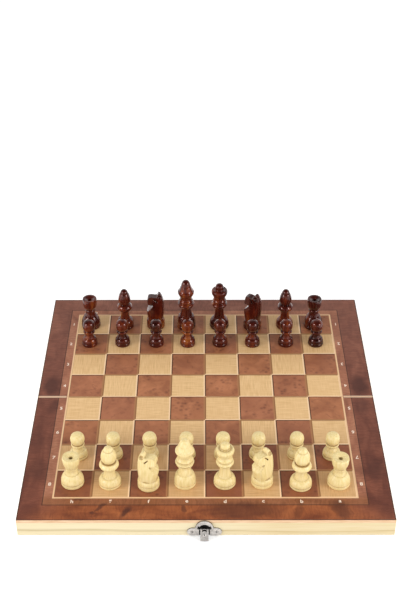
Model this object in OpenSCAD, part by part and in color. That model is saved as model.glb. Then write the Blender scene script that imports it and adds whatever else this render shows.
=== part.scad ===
// Folding wooden board case for chess, draughts and backgammon. It lies open flat with the
// chessboard up, the men set up on it and the draughts and dice in the hollow under its front half.
// The origin is on the table under the middle of the fold. X runs along the fold, -Y is the front.

/* [Board] */
// Width of the board, along the fold
board_w = 289; // [275:1:340]
// Depth of one half, square to the fold
half_d = 145; // [137:1:170]
// Gap between the two halves at the fold
fold_gap = 0.6; // [0.4:0.1:1.2]
// Width of the printed border on each side of the chessboard
border_w = 26.1; // [22:0.1:40]
// Thickness of the playing panel
panel_t = 3; // [2:0.5:6]
// Height of the pine walls under the panel
wall_h = 13; // [12:0.5:30]
// Thickness of the pine walls
wall_t = 8; // [7:0.5:12]
// Thickness of the printed lining inside each half
lining_t = 0.8; // [0.4:0.1:2]

/* [Hinges] */
// Distance of each hinge from the middle of the fold
hinge_x = 95; // [40:1:110]
// Length of a hinge leaf along the fold
leaf_l = 22; // [18:1:30]
// Wood left between a hinge leaf and the inside of the wall
leaf_margin = 1.4; // [0.8:0.1:2]
// Thickness of a hinge leaf
leaf_t = 0.8; // [0.6:0.1:1.2]
// Depth of a leaf below the rim that it is let into
leaf_recess = 0.1; // [0.05:0.05:0.3]
// Diameter of the hinge barrel, which the open board lies on
barrel_d = 2; // [1.8:0.1:2.6]
// Diameter of the hinge pin
hinge_pin_d = 1; // [0.6:0.1:1.2]
// Running clearance round a pin, on the radius
pin_fit = 0.04; // [0.02:0.01:0.1]
// Number of knuckles in one barrel
knuckles = 5; // [3:2:7]
// Clearance of a knuckle from the wood and the leaf beside it
knuckle_gap = 0.3; // [0.2:0.05:0.5]
// Distance of a leaf's screws from the leaf's middle
leaf_screw_x = 6.5; // [4:0.5:7]
// Head diameter of a hinge screw
leaf_screw_head_d = 2.2; // [1.8:0.1:3]
// Shank diameter of a hinge screw
leaf_screw_d = 1.1; // [0.8:0.1:1.5]
// Length of a hinge screw
leaf_screw_l = 7; // [4:0.5:9]

/* [Latch] */
// Distance of the latch from the middle of the front wall
latch_x = -1.2; // [-20:0.1:20]
// Thickness of the latch plate and of the catch plate
plate_t = 0.7; // [0.5:0.1:1]
// Distance of a plate screw from the middle of the latch
ear_x = 9.4; // [8.5:0.1:12]
// Radius of the ear round a plate screw
ear_r = 3.9; // [3:0.1:4.2]
// Radius of the dome over the tongue
dome_r = 6.5; // [6:0.1:7]
// Height of the dome's middle above the rim
dome_z = 9.2; // [8:0.1:9.4]
// How far the dome is pressed out of the wall
dome_t = 1.2; // [0.8:0.1:1.5]
// Half the width of the dome's shoulders
shoulder_x = 7; // [6.5:0.1:8]
// Width of the arch that the tongue hangs in
arch_w = 8.4; // [7.6:0.1:9]
// Height of the springing of the arch above the rim
arch_z = 8; // [7:0.1:8.4]
// Width of the dark pocket in the wall behind the arch
pocket_w = 7.4; // [6.8:0.1:7.6]
// Depth of the pocket
pocket_depth = 2.5; // [1:0.5:4]
// Thickness of the lugs that hold the latch pin
lug_t = 0.8; // [0.6:0.1:1.2]
// Diameter of the latch pin
latch_pin_d = 1.2; // [0.8:0.1:1.4]
// Height of the latch pin above the rim
latch_pin_z = 8.35; // [8:0.05:9]
// Distance of the latch pin from the face of the wall
latch_pin_out = 1.9; // [1.7:0.1:2.4]
// Width of the tongue
tongue_w = 6.4; // [5.5:0.1:7]
// Thickness of the tongue
tongue_t = 0.8; // [0.6:0.1:1]
// How far the tongue reaches past the rim when it hangs straight down
tongue_past_rim = 1.25; // [1:0.05:1.3]
// Height of the tongue's bent lip
lip_h = 0.7; // [0.5:0.1:0.8]
// How far the lip hooks under the bead of the catch
lip_hook = 0.3; // [0.1:0.05:0.35]
// Angle of the tongue from straight down, its tip just off the table
tongue_splay = 25; // [20:1:30]
// Distance of a catch screw from the middle of the catch
catch_ear_x = 7.5; // [7:0.1:10]
// Radius of the ear round a catch screw
catch_ear_r = 3; // [2.6:0.1:3.8]
// Radius of the catch's bead
bead_r = 0.5; // [0.3:0.05:0.5]
// Half the width of the catch's bead
bead_x = 2.8; // [2:0.1:3]
// Head diameter of a plate screw
plate_screw_head_d = 4; // [3:0.1:4.5]
// Shank diameter of a plate screw
plate_screw_d = 1.8; // [1.2:0.1:2]
// Length of a plate screw, less than the wall is thick
plate_screw_l = 6; // [4:0.5:6.5]

/* [Draughts and dice] */
// Diameter of a draught
draught_d = 20; // [16:0.5:21]
// Thickness of a draught
draught_t = 5.5; // [4:0.5:7]
// Width of the ring groove turned into a draught's faces
groove_w = 1.2; // [0.8:0.1:2]
// Depth of the ring groove
groove_depth = 0.5; // [0.3:0.1:1]
// Clear space between neighbouring draughts
draught_space = 2.5; // [1:0.5:3]
// Clear space between the draughts and the walls
tray_margin = 4; // [2:0.5:6]
// Clear space between the dice and the draughts beside them
dice_space = 3.5; // [2:0.5:8]
// Side of a die
die_s = 9; // [7:0.5:10]
// Radius of a pip
pip_r = 0.8; // [0.5:0.1:0.9]

/* [Light men] */
// Foot diameter of a light rook
light_rook_d = 18.1; // [14:0.1:20]
// Height of a light rook
light_rook_h = 27.5; // [22:0.1:36]
// Foot diameter of a light knight
light_knight_d = 17.3; // [14:0.1:20]
// Height of a light knight
light_knight_h = 34; // [28:0.1:42]
// Foot diameter of a light bishop
light_bishop_d = 17.7; // [14:0.1:20]
// Height of a light bishop
light_bishop_h = 38.4; // [34:0.1:48]
// Foot diameter of the light king
light_king_d = 17.3; // [14:0.1:20]
// Height of the light king
light_king_h = 45.8; // [40:0.1:60]
// Foot diameter of the light queen
light_queen_d = 17.5; // [14:0.1:20]
// Height of the light queen
light_queen_h = 41.8; // [38:0.1:56]
// Foot diameter of a light pawn
light_pawn_d = 14.6; // [12:0.1:16]
// Height of a light pawn
light_pawn_h = 23.5; // [20:0.1:30]

/* [Dark men] */
// Foot diameter of a dark rook
dark_rook_d = 17.5; // [14:0.1:20]
// Height of a dark rook
dark_rook_h = 30.5; // [22:0.1:36]
// Foot diameter of a dark knight
dark_knight_d = 17; // [14:0.1:20]
// Height of a dark knight
dark_knight_h = 37.6; // [30:0.1:42]
// Foot diameter of a dark bishop
dark_bishop_d = 16; // [14:0.1:20]
// Height of a dark bishop
dark_bishop_h = 41; // [34:0.1:48]
// Foot diameter of the dark king
dark_king_d = 17.6; // [14:0.1:20]
// Height of the dark king
dark_king_h = 51; // [44:0.1:60]
// Foot diameter of the dark queen
dark_queen_d = 18; // [14:0.1:20]
// Height of the dark queen
dark_queen_h = 47; // [40:0.1:56]
// Foot diameter of a dark pawn
dark_pawn_d = 14; // [12:0.1:16]
// Height of a dark pawn
dark_pawn_h = 26.2; // [20:0.1:30]

/* [Turning and carving] */
// Diameter of the dish in a rook's head
rook_dish_d = 8.8; // [6:0.1:9.6]
// Depth of the dish in a rook's head
rook_dish_depth = 1.3; // [0.6:0.1:3]
// Diameter of the hole in the middle of the dish
rook_hole_d = 3.6; // [2:0.1:5]
// Depth of the hole below the rook's rim
rook_hole_depth = 5; // [3:0.5:8]
// Radius of the ball-ended cut that hollows a knight's ear
ear_cut_r = 2.1; // [1:0.1:2.6]
// Length of the slanting cut in a knight's cheek
cheek_cut_l = 4.4; // [2:0.1:6]
// Width of the cut in a knight's cheek
cheek_cut_w = 1; // [0.6:0.1:1.6]
// Depth of the cut in a knight's cheek
cheek_cut_depth = 0.8; // [0.3:0.1:1.2]

/* [Hidden] */
$fn = 64;

// Heights above the table
rim_z = barrel_d / 2;
panel_z = rim_z + wall_h;
top_z = panel_z + panel_t;

// Distances from the fold
fold_y = fold_gap / 2;
outer_y = fold_y + half_d;
inner_y = outer_y - wall_t;
inner_x = board_w / 2 - wall_t;

// Side of one square of the chessboard
square = (board_w - 2 * border_w) / 8;

// Hinge leaf
leaf_w = wall_t - leaf_margin;
leaf_z = rim_z + leaf_recess;
leaf_screw_y = fold_y + barrel_d / 2 + (leaf_w - barrel_d / 2) / 2;
knuckle_l = leaf_l / knuckles;

// Latch
tongue_l = latch_pin_z + tongue_past_rim;
tongue_bore_d = latch_pin_d + 2 * pin_fit;
tongue_knuckle_d = latch_pin_d + 1.3;
arm_w = 1.5;
bead_out = plate_t + 0.05;
lip_reach = latch_pin_out - bead_out - bead_r + lip_hook;
ear_z = ear_r + 0.1;
catch_z = catch_ear_r + 0.4;

// Draughts, in rows from the left wall and from the fold
draught_pitch = draught_d + draught_space;
draught_x = -inner_x + tray_margin + draught_d / 2;
draught_y = -fold_y - wall_t - tray_margin - draught_d / 2;
draught_rows = 5;
draught_columns = 3;
last_draught_x = draught_x + (2 * draught_columns - 1) * draught_pitch;
die_x = last_draught_x + draught_d / 2 + dice_space + die_s / 2;

// Men from the left, as they stand on the row nearest each player
RANK = ["rook", "bishop", "knight", "king", "queen", "knight", "bishop", "rook"];
NAMES = [
    "rook_left", "bishop_left", "knight_left", "king",
    "queen", "knight_right", "bishop_right", "rook_right"
];
// How far each man stands off the middle of its square, in [x, y], from the left
LIGHT_RANK_OFF = [[-1.2, -1], [-1.3, -1.8], [-0.5, -4], [-1.6, -1.6], [0, -1.4], [-0.2, -1.2],
    [0.4, -3.6], [0.8, -1.8]];
LIGHT_PAWN_OFF = [[0.8, 0.3], [-0.2, 0.3], [-0.6, 0.3], [-0.7, 0.3], [-1, 0.3], [-2.2, 0.3],
    [-1, 0.3], [-2, 0.3]];
DARK_PAWN_OFF = [[-2, 1.6], [-1.6, 2], [-0.3, 1.7], [-1.2, 1.5], [-1.3, 1.9], [-1.4, 1.5],
    [-0.4, 1.8], [-2.6, 1.7]];
DARK_RANK_OFF = [[-3, 0.6], [-0.5, 0], [-1.7, 0], [-2.9, 0], [-1.7, 0], [-0.4, -1.5],
    [0, -0.4], [-2.8, 0]];
// Turn of each knight from facing left
LIGHT_KNIGHT_TURN = [165, 38];
DARK_KNIGHT_TURN = [0, -32];

// Turned outlines, from the foot up, as smooth runs of [share of the foot's radius, share of the
// height]. A crease stands where one run ends and the next begins.
FOOT = [[[0.93, 0], [0.99, 0.012], [0.995, 0.05]]];
LOW_FOOT = [[[0.93, 0], [0.985, 0.015], [1, 0.05], [0.995, 0.095]]];
KING = concat(FOOT, [
    [[0.94, 0.062], [0.975, 0.085], [0.965, 0.13], [0.90, 0.19], [0.80, 0.235], [0.73, 0.25]],
    [[0.66, 0.257], [0.585, 0.305], [0.51, 0.36], [0.48, 0.395], [0.51, 0.42]],
    [[0.60, 0.43], [0.76, 0.452], [0.77, 0.472]],
    [[0.72, 0.477], [0.85, 0.497], [0.84, 0.518], [0.74, 0.53]],
    [[0.68, 0.54], [0.73, 0.56], [0.71, 0.58], [0.62, 0.60]],
    [[0.60, 0.605], [0.58, 0.625], [0.64, 0.66], [0.79, 0.715], [0.855, 0.75], [0.83, 0.775]],
    [[0.76, 0.785], [0.70, 0.805], [0.62, 0.84], [0.56, 0.87]],
    [[0.53, 0.875], [0.50, 0.90], [0.41, 0.95], [0.25, 0.988], [0, 1]]]);
QUEEN = concat(FOOT, [
    [[0.94, 0.062], [0.98, 0.082], [0.965, 0.115], [0.87, 0.165], [0.75, 0.195], [0.67, 0.205]],
    [[0.60, 0.21], [0.52, 0.255], [0.47, 0.33], [0.455, 0.40], [0.49, 0.455]],
    [[0.56, 0.465], [0.68, 0.487], [0.69, 0.505]],
    [[0.66, 0.51], [0.79, 0.53], [0.78, 0.555], [0.70, 0.575]],
    [[0.64, 0.585], [0.68, 0.61], [0.67, 0.635], [0.60, 0.655]],
    [[0.585, 0.66], [0.575, 0.69], [0.65, 0.735], [0.77, 0.775], [0.82, 0.82], [0.78, 0.858],
        [0.66, 0.876]],
    [[0.47, 0.872], [0.42, 0.888], [0.425, 0.925], [0.36, 0.97], [0.20, 0.994], [0, 1]]]);
BISHOP = concat(FOOT, [
    [[0.94, 0.062], [0.985, 0.085], [0.97, 0.12], [0.90, 0.165], [0.79, 0.20], [0.70, 0.212]],
    [[0.61, 0.217], [0.53, 0.26], [0.48, 0.33], [0.48, 0.40], [0.52, 0.435]],
    [[0.58, 0.445], [0.76, 0.475], [0.87, 0.52], [0.83, 0.565], [0.68, 0.605]],
    [[0.52, 0.612], [0.60, 0.65], [0.68, 0.70], [0.69, 0.75], [0.65, 0.81], [0.56, 0.87],
        [0.47, 0.905]],
    [[0.42, 0.91], [0.41, 0.935], [0.33, 0.968], [0.17, 0.993], [0, 1]]]);
ROOK = concat(LOW_FOOT, [
    [[0.94, 0.115], [0.985, 0.145], [0.97, 0.19], [0.90, 0.265], [0.77, 0.345], [0.66, 0.395]],
    [[0.58, 0.405], [0.50, 0.47], [0.46, 0.535], [0.47, 0.56]],
    [[0.53, 0.57], [0.55, 0.595], [0.51, 0.62]],
    [[0.50, 0.625], [0.61, 0.685], [0.70, 0.765], [0.74, 0.86], [0.75, 0.94], [0.71, 1]]]);
PAWN = concat(LOW_FOOT, [
    [[0.93, 0.11], [0.97, 0.135], [0.955, 0.18], [0.88, 0.24], [0.78, 0.28], [0.72, 0.29]],
    [[0.64, 0.297], [0.55, 0.35], [0.48, 0.41], [0.46, 0.45], [0.49, 0.475]],
    [[0.56, 0.485], [0.70, 0.508], [0.745, 0.54], [0.71, 0.575], [0.63, 0.59]],
    [[0.58, 0.595], [0.70, 0.64], [0.775, 0.715], [0.785, 0.80], [0.70, 0.90], [0.52, 0.965],
        [0.27, 0.995], [0, 1]]]);
KNIGHT_FOOT = concat(LOW_FOOT, [
    [[0.95, 0.11], [0.99, 0.135], [0.985, 0.175], [0.93, 0.22], [0.83, 0.245]]]);
// Side view of a knight's head facing left, round its neck and back, in the same shares
KNIGHT_HEAD = [
    [[-0.80, 0.20], [-0.80, 0.29], [-0.88, 0.38], [-0.94, 0.47]],
    [[-0.94, 0.47], [-0.72, 0.545], [-0.46, 0.605], [-0.24, 0.665]],
    [[-0.30, 0.69], [-0.56, 0.695], [-0.77, 0.715], [-0.83, 0.76], [-0.83, 0.84], [-0.74, 0.885]],
    [[-0.74, 0.885], [-0.40, 0.90], [-0.05, 0.885], [0.18, 0.89]],
    [[0.24, 0.93], [0.38, 1]],
    [[0.38, 1], [0.62, 0.965], [0.81, 0.90], [0.92, 0.80], [0.96, 0.66], [0.96, 0.48],
        [0.91, 0.32], [0.84, 0.20]]];
// Half of a knight's head seen from the front, in the same shares
KNIGHT_FRONT = [[[0.76, 0.19], [0.72, 0.40], [0.60, 0.60], [0.48, 0.75], [0.38, 0.89], [0.20, 1]]];
// Blank that a knight is carved from
KNIGHT_BLANK = [[[0.84, 0.19], [0.86, 0.27], [0.93, 0.38], [0.96, 0.52], [0.93, 0.70],
    [0.86, 0.83], [0.71, 0.93], [0.5, 1]]];
// Middles of the cuts in a knight's face, in the same shares, and half the face's thickness there
EAR_CUT = [0.50, 0.90];
EAR_HALF = 0.36;
CHEEK_CUT = [0.04, 0.81];
CHEEK_HALF = 0.44;
CHEEK_SLANT = 48;

// A point on the curve that runs smoothly through b and c, t of the way between them
function between(a, b, c, d, t) =
    (2 * b + (c - a) * t + (2 * a - 5 * b + 4 * c - d) * t * t
        + (3 * b - a - 3 * c + d) * t * t * t) / 2;
// A smooth run through points p, each span halved
function smooth(p) = concat(
    [for (i = [0:len(p) - 2], t = [0, 0.5])
        between(p[max(i - 1, 0)], p[i], p[i + 1], p[min(i + 2, len(p) - 1)], t)],
    [p[len(p) - 1]]);
function outline(runs) = [for (run = runs) each smooth(run)];

// Foot diameter and height of every kind of man
SIZES = [
    ["light_rook", light_rook_d, light_rook_h],
    ["light_knight", light_knight_d, light_knight_h],
    ["light_bishop", light_bishop_d, light_bishop_h],
    ["light_king", light_king_d, light_king_h],
    ["light_queen", light_queen_d, light_queen_h],
    ["light_pawn", light_pawn_d, light_pawn_h],
    ["dark_rook", dark_rook_d, dark_rook_h],
    ["dark_knight", dark_knight_d, dark_knight_h],
    ["dark_bishop", dark_bishop_d, dark_bishop_h],
    ["dark_king", dark_king_d, dark_king_h],
    ["dark_queen", dark_queen_d, dark_queen_h],
    ["dark_pawn", dark_pawn_d, dark_pawn_h]
];
function size(side, kind) = SIZES[search([str(side, "_", kind)], SIZES)[0]];

module pine() color("#f0deb2") children();
module burl() color("#7d4a3c") children();
module printed() color("#c9a06a") children();
module brassed() color("#c8a555") children();
module steel() color("#b9b4ae") children();
module boxwood() color("#efe0a8") children();
module rosewood() color("#5a1f14") children();

// The rear half is the front half's mirror image across the fold
module half(side) {
    if (side == "front") children();
    else mirror([0, 1, 0]) children();
}

// Screws: z = 0 is the face that the head lies flush with, and the point is below it
module screw_body(head_d, d, l) {
    head_h = (head_d - d) / 2;
    translate([0, 0, -head_h]) cylinder(h = head_h, d1 = d, d2 = head_d);
    translate([0, 0, d - l]) cylinder(h = l - d - head_h, d = d);
    translate([0, 0, -l]) cylinder(h = d, d1 = d / 5, d2 = d);
}
module wood_screw(head_d, d, l) difference() {
    screw_body(head_d, d, l);
    for (turn = [0, 90]) rotate(turn)
        translate([-head_d * 0.35, -head_d / 16, -head_d / 8])
            cube([head_d * 0.7, head_d / 8, head_d]);
}

// Boards
module panel(side) burl() half(side)
    translate([-board_w / 2, -outer_y, panel_z]) cube([board_w, half_d, panel_t]);
module lining(side) printed() half(side)
    translate([-inner_x, -inner_y, panel_z - lining_t])
        cube([2 * inner_x, half_d - 2 * wall_t, lining_t]);
module side_wall(side, x) pine() half(side)
    translate([x, -inner_y, rim_z]) cube([wall_t, half_d - 2 * wall_t, wall_h]);
module long_wall(y) translate([-board_w / 2, y, rim_z]) cube([board_w, wall_t, wall_h]);
module outer_wall(side) pine() half(side) difference() {
    long_wall(-outer_y);
    if (side == "front") {
        at_latch() plate_screws(ear_x, ear_z, hole = true);
        at_latch() translate([0, pocket_depth, 0]) pressed(pocket_depth + 1) arch(pocket_w, ear_z);
    } else at_latch() plate_screws(catch_ear_x, catch_z, hole = true);
}
module fold_wall(side) pine() half(side) difference() {
    long_wall(-fold_y - wall_t);
    for (x = [-hinge_x, hinge_x]) translate([x, 0, 0]) {
        translate([-leaf_l / 2, -fold_y - leaf_w, rim_z - 1])
            cube([leaf_l, leaf_w, 1 + leaf_recess + leaf_t]);
        along_x(leaf_l + 2 * knuckle_gap, rim_z) circle(d = barrel_d + 2 * knuckle_gap);
        leaf_screws(hole = true);
    }
}

// Hinges: the barrel's axis lies in the plane of the rims, so that the halves close on each other
module along_x(l, z) translate([-l / 2, 0, z]) rotate([90, 0, 90]) linear_extrude(l) children();
module leaf_screws(hole = false) {
    for (x = [-leaf_screw_x, leaf_screw_x]) translate([x, -leaf_screw_y, leaf_z]) mirror([0, 0, 1])
        if (hole) screw_body(leaf_screw_head_d, leaf_screw_d, leaf_screw_l);
        else wood_screw(leaf_screw_head_d, leaf_screw_d, leaf_screw_l);
}
// The front leaves have the outer and middle knuckles and hold the pin. The rear ones turn on it.
module hinge_leaf(side, x) brassed() half(side) translate([x, 0, 0]) {
    mine = side == "front" ? 0 : 1;
    difference() {
        union() {
            translate([-leaf_l / 2, -fold_y - leaf_w, leaf_z]) cube([leaf_l, leaf_w, leaf_t]);
            for (i = [mine:2:knuckles - 1]) knuckle(i, knuckle_gap / 2) circle(d = barrel_d);
        }
        for (i = [1 - mine:2:knuckles - 1])
            knuckle(i, -knuckle_gap / 2) circle(d = barrel_d + 2 * knuckle_gap);
        along_x(leaf_l, rim_z) circle(d = hinge_pin_d + 2 * mine * pin_fit);
        leaf_screws(hole = true);
    }
}
module knuckle(i, shorter) translate([(i + 0.5) * knuckle_l - leaf_l / 2, 0, 0])
    along_x(knuckle_l - 2 * shorter, rim_z) children();
module hinge_screws(side) brassed() half(side)
    for (x = [-hinge_x, hinge_x]) translate([x, 0, 0]) leaf_screws();
module hinge_pins() steel()
    for (x = [-hinge_x, hinge_x]) translate([x, 0, 0]) along_x(leaf_l, rim_z) circle(d = hinge_pin_d);

// Latch: drawn on the wall's face, with x along it, z up from the rim and -y out of it
module at_latch() translate([latch_x, -outer_y, rim_z]) children();
module pressed(t) rotate([90, 0, 0]) linear_extrude(t) children();
module arch(w, from_z) {
    translate([-w / 2, from_z]) square([w, arch_z - from_z]);
    translate([0, arch_z]) circle(d = w);
}
module plate_screws(x, z, hole = false) {
    for (sx = [-x, x]) translate([sx, -plate_t, z]) rotate([90, 0, 0])
        if (hole) screw_body(plate_screw_head_d, plate_screw_d, plate_screw_l);
        else wood_screw(plate_screw_head_d, plate_screw_d, plate_screw_l);
}
module ears(x, r, z) {
    for (sx = [-x, x]) translate([sx, z]) circle(r);
    translate([-x, z - r]) square([2 * x, 2 * r]);
}
module latch_plate() steel() at_latch() difference() {
    union() {
        pressed(plate_t) {
            ears(ear_x, ear_r, ear_z);
            translate([-shoulder_x, ear_z]) square([2 * shoulder_x, dome_z - ear_z]);
        }
        pressed(dome_t) translate([0, dome_z]) circle(dome_r);
        for (x = [-arch_w / 2 - lug_t, arch_w / 2]) translate([x, 0, 0]) rotate([90, 0, 90])
            linear_extrude(lug_t) {
                translate([-latch_pin_out, latch_pin_z]) circle(latch_pin_d);
                translate([-latch_pin_out, latch_pin_z - latch_pin_d])
                    square([latch_pin_out, 2 * latch_pin_d]);
            }
    }
    translate([0, 0.5, 0]) pressed(dome_t + 1) arch(arch_w, -1);
    translate([0, -latch_pin_out, 0]) along_x(arch_w + 4 * lug_t, latch_pin_z) circle(d = latch_pin_d);
    plate_screws(ear_x, ear_z, hole = true);
}
module latch_pin() steel() at_latch() translate([0, -latch_pin_out, 0])
    along_x(arch_w + 2 * lug_t, latch_pin_z) circle(d = latch_pin_d);
module latch_screws() steel() at_latch() plate_screws(ear_x, ear_z);
// The tongue, drawn hanging straight down from its pin and then swung out
module latch_tongue() steel() at_latch() translate([0, -latch_pin_out, latch_pin_z])
    rotate([-tongue_splay, 0, 0]) difference() {
        union() {
            translate([-tongue_w / 2, -tongue_t / 2, -tongue_l]) cube([tongue_w, tongue_t, tongue_l]);
            along_x(tongue_w, 0) circle(d = tongue_knuckle_d);
            translate([-tongue_w / 2, 0, -tongue_l]) cube([tongue_w, lip_reach, lip_h]);
            translate([0, tongue_t, -tongue_l * 0.55]) sphere(tongue_t * 2);
        }
        along_x(tongue_w + 1, 0) circle(d = tongue_bore_d);
        translate([0, tongue_t * 2.5, 0]) pressed(tongue_t * 5) difference() {
            translate([-tongue_w / 2 + arm_w, -tongue_w / 2]) square([tongue_w - 2 * arm_w, tongue_w]);
            translate([0, -tongue_w / 2]) circle(d = tongue_w - 2 * arm_w);
        }
        translate([-tongue_w, tongue_t / 2, -tongue_l + lip_h]) cube([2 * tongue_w, 3, tongue_l - 3]);
    }

// Catch, on the far wall: its bead comes under the tongue's lip when the halves close
module catch_plate() steel() mirror([0, 1, 0]) at_latch() {
    difference() {
        pressed(plate_t) ears(catch_ear_x, catch_ear_r, catch_z);
        plate_screws(catch_ear_x, catch_z, hole = true);
    }
    pressed(plate_t) translate([-bead_x, -bead_r / 2]) square([2 * bead_x, catch_z]);
    translate([0, -bead_out, 0]) along_x(2 * bead_x, -bead_r / 2) circle(bead_r);
}
module catch_screws() steel() mirror([0, 1, 0]) at_latch() plate_screws(catch_ear_x, catch_z);

// Draughts: discs with a ring groove and a hollowed middle on both faces
module draught() rotate_extrude() {
    r = draught_d / 2;
    difference() {
        square([r, draught_t]);
        for (z = [0, draught_t]) translate([r * 0.66, z])
            square([groove_w, 2 * groove_depth], center = true);
        for (z = [0, draught_t]) translate([0, z])
            square([r * 0.8, groove_depth], center = true);
        for (z = [0, draught_t]) translate([r, z]) rotate(45) square(groove_depth, center = true);
    }
}
module draughts(first) for (i = [0:draught_columns - 1], j = [0:draught_rows - 1])
    translate([draught_x + (first + i) * draught_pitch, draught_y - j * draught_pitch, 0]) draught();
module light_draughts() boxwood() draughts(0);
module dark_draughts() rosewood() draughts(draught_columns);

// Dice: opposite faces add up to seven
function pips(n) = concat(
    n % 2 == 1 ? [[0, 0]] : [],
    n > 1 ? [[-1, -1], [1, 1]] : [],
    n > 3 ? [[-1, 1], [1, -1]] : [],
    n == 6 ? [[-1, 0], [1, 0]] : []);
module face_pips(n) for (p = pips(n))
    translate([p[0] * die_s / 4, p[1] * die_s / 4, die_s / 2 + pip_r / 3]) sphere(pip_r, $fn = 24);
module die(turn) translate([0, 0, die_s / 2]) rotate(turn) difference() {
    intersection() {
        cube(die_s, center = true);
        sphere(die_s * 0.76);
    }
    face_pips(5);
    rotate([180, 0, 0]) face_pips(2);
    rotate([90, 0, 0]) face_pips(6);
    rotate([-90, 0, 0]) face_pips(1);
    rotate([0, 90, 0]) face_pips(4);
    rotate([0, -90, 0]) face_pips(3);
}
module dice() color("#f4f1e8") {
    translate([die_x, draught_y, 0]) die([0, 0, 18]);
    translate([die_x, draught_y - draught_pitch, 0]) die([0, 90, -31]);
}

// Men, each turned in one piece
function drawn(p, d, h) = [for (q = p) [q[0] * d / 2, q[1] * h]];
function span(p) = [p[0][1], p[len(p) - 1][1]];
module turned(runs, d, h) {
    p = outline(runs);
    rotate_extrude() polygon(drawn(concat([[0, span(p)[0]]], p, [[0, span(p)[1]]]), d, h));
}
// A knight's head is cut from the turned blank to its side view, and its two faces are sloped
module knight(d, h) {
    front = outline(KNIGHT_FRONT);
    turned(KNIGHT_FOOT, d, h);
    difference() {
        intersection() {
            turned(KNIGHT_BLANK, d, h);
            translate([0, d, 0]) pressed(2 * d) polygon(drawn(outline(KNIGHT_HEAD), d, h));
            rotate([90, 0, 90]) translate([0, 0, -d]) linear_extrude(2 * d)
                for (flip = [0, 1]) mirror([flip, 0])
                    polygon(drawn(concat([[0, span(front)[0]]], front, [[0, span(front)[1]]]), d, h));
        }
        for (face = [-1, 1]) {
            translate([EAR_CUT[0] * d / 2, face * (EAR_HALF * d / 2 + ear_cut_r * 0.3), EAR_CUT[1] * h])
                sphere(ear_cut_r, $fn = 32);
            translate([CHEEK_CUT[0] * d / 2, face * CHEEK_HALF * d / 2, CHEEK_CUT[1] * h])
                rotate([0, CHEEK_SLANT, 0])
                    cube([cheek_cut_l, 2 * cheek_cut_depth, cheek_cut_w], center = true);
        }
    }
}
module rook(d, h) difference() {
    turned(ROOK, d, h);
    translate([0, 0, h - rook_dish_depth])
        cylinder(h = 2 * rook_dish_depth, d1 = rook_hole_d, d2 = 2 * rook_dish_d - rook_hole_d);
    translate([0, 0, h - rook_hole_depth])
        cylinder(h = rook_hole_depth, d1 = rook_hole_d * 0.8, d2 = rook_hole_d);
}
module man(side, kind, turn = 0) {
    d = size(side, kind)[1];
    h = size(side, kind)[2];
    if (kind == "knight") rotate(turn) knight(d, h);
    else if (kind == "rook") rook(d, h);
    else turned(kind == "king" ? KING : kind == "queen" ? QUEEN : kind == "bishop" ? BISHOP : PAWN, d, h);
}
module on_square(file, row, off)
    translate([(file - 3.5) * square + off[0], (row - 3.5) * square + off[1], top_z]) children();
module piece(side, file) {
    turns = side == "light" ? LIGHT_KNIGHT_TURN : DARK_KNIGHT_TURN;
    off = side == "light" ? LIGHT_RANK_OFF : DARK_RANK_OFF;
    on_square(file, side == "light" ? 0 : 7, off[file]) man(side, RANK[file], turns[file < 4 ? 0 : 1]);
}
module pawn(side, file) {
    off = side == "light" ? LIGHT_PAWN_OFF : DARK_PAWN_OFF;
    on_square(file, side == "light" ? 1 : 6, off[file]) man(side, "pawn");
}
module in_colour(side) {
    if (side == "light") boxwood() children();
    else rosewood() children();
}

for (side = ["front", "rear"]) {
    panel(side);
    outer_wall(side);
    fold_wall(side);
    side_wall(side, -board_w / 2);
    side_wall(side, inner_x);
    lining(side);
    hinge_leaf(side, -hinge_x);
    hinge_leaf(side, hinge_x);
    hinge_screws(side);
}
hinge_pins();
latch_plate();
latch_tongue();
latch_pin();
latch_screws();
catch_plate();
catch_screws();
light_draughts();
dark_draughts();
dice();
for (side = ["light", "dark"], file = [0:7]) {
    in_colour(side) piece(side, file);
    in_colour(side) pawn(side, file);
}
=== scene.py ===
"""Looks for the folding wooden board case with its men, draughts and dice, in metres."""

import bpy
import numpy as np
from mathutils import Matrix, Vector


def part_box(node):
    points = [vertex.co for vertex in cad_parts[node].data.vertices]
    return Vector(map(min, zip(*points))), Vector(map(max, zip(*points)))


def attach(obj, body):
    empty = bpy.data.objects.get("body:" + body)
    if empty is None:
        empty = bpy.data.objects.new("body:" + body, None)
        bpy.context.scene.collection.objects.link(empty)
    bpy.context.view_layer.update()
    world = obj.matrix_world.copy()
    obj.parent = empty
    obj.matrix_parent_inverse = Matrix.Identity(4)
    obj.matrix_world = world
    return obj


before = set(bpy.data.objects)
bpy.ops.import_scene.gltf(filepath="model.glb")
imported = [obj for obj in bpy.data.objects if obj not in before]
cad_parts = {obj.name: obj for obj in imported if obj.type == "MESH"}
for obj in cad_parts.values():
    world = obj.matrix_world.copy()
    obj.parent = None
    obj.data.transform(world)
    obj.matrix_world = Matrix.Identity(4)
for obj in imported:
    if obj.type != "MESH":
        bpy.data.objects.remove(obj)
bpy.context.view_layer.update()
MM = 0.001

# ---- Playing panels -------------------------------------------------------------------------
# Two 3 mm boards faced with a paper print of veneer under satin lacquer: a chessboard of burl
# and sycamore squares with bevelled-looking lines, a label strip and a wide burl border. The cut
# edges are bare and show the pale core.

SQUARE = 29.6 * MM
FRONT_PITCH, REAR_PITCH = 1.028, 1.016      # depth of a printed square over its width, each half
PRINT_SHIFT = -0.45 * MM                    # the sheet is glued a little to the left
PANEL_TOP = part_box("front_panel")[1].z
HALF_X, HALF_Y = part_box("front_panel")[1].x, -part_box("front_panel")[0].y


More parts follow.
